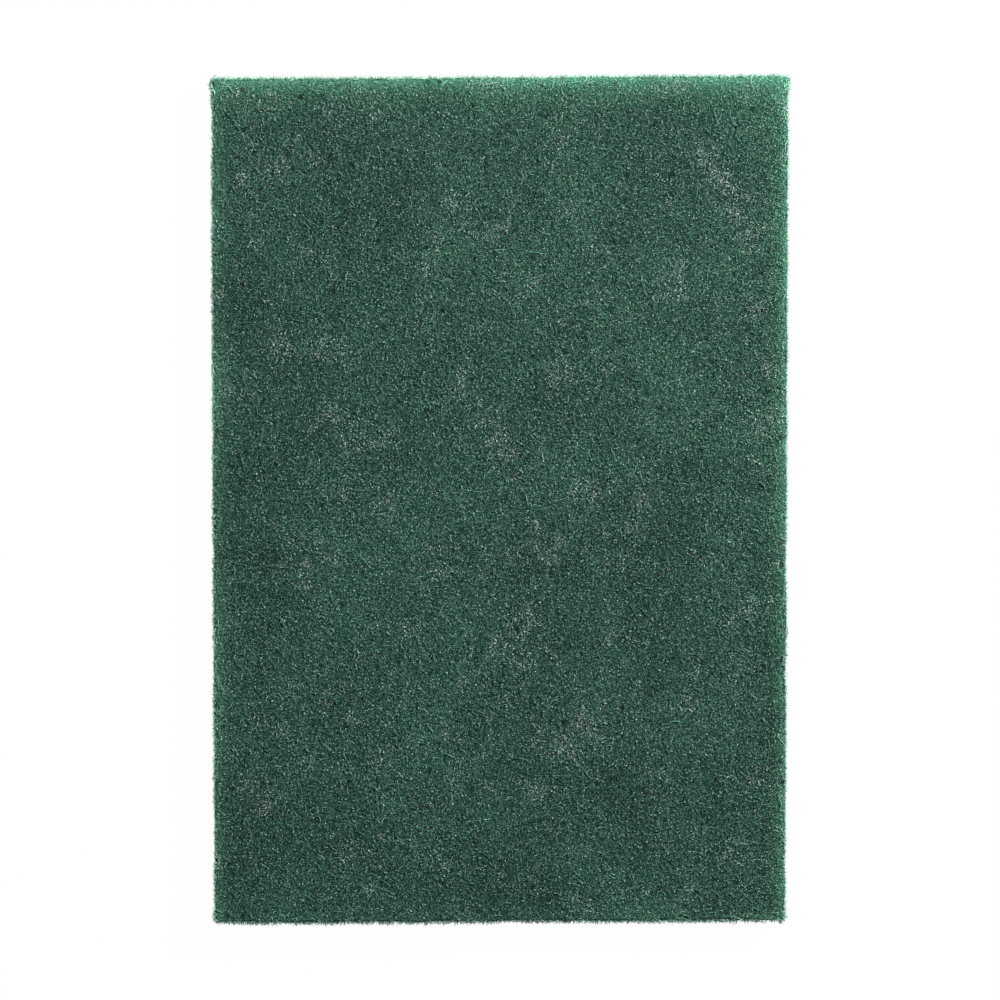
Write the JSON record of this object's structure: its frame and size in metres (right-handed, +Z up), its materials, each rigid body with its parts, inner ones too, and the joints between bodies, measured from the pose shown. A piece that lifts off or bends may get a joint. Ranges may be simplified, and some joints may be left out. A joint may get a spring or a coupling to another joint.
{
  "type": "nylon scouring pad",
  "caption": "Flat rectangular hand scouring pad, cut from a lofty nonwoven web of resin-bonded dark green nylon fibres.",
  "frame": {"origin": "middle of the plane that the pad rests on, under the centre of its outline", "axes": "+X across the pad's width, +Y along its length, +Z up through its thickness"},
  "size_m": [0.15, 0.2209, 0.008],
  "materials": {
    "bonded_web": "coarse fibrous nonwoven, with small gloss on resin-coated fibres"
  },
  "bodies": {
    "root": {"scouring_pad": "bonded_web"}
  },
  "joints": []
}
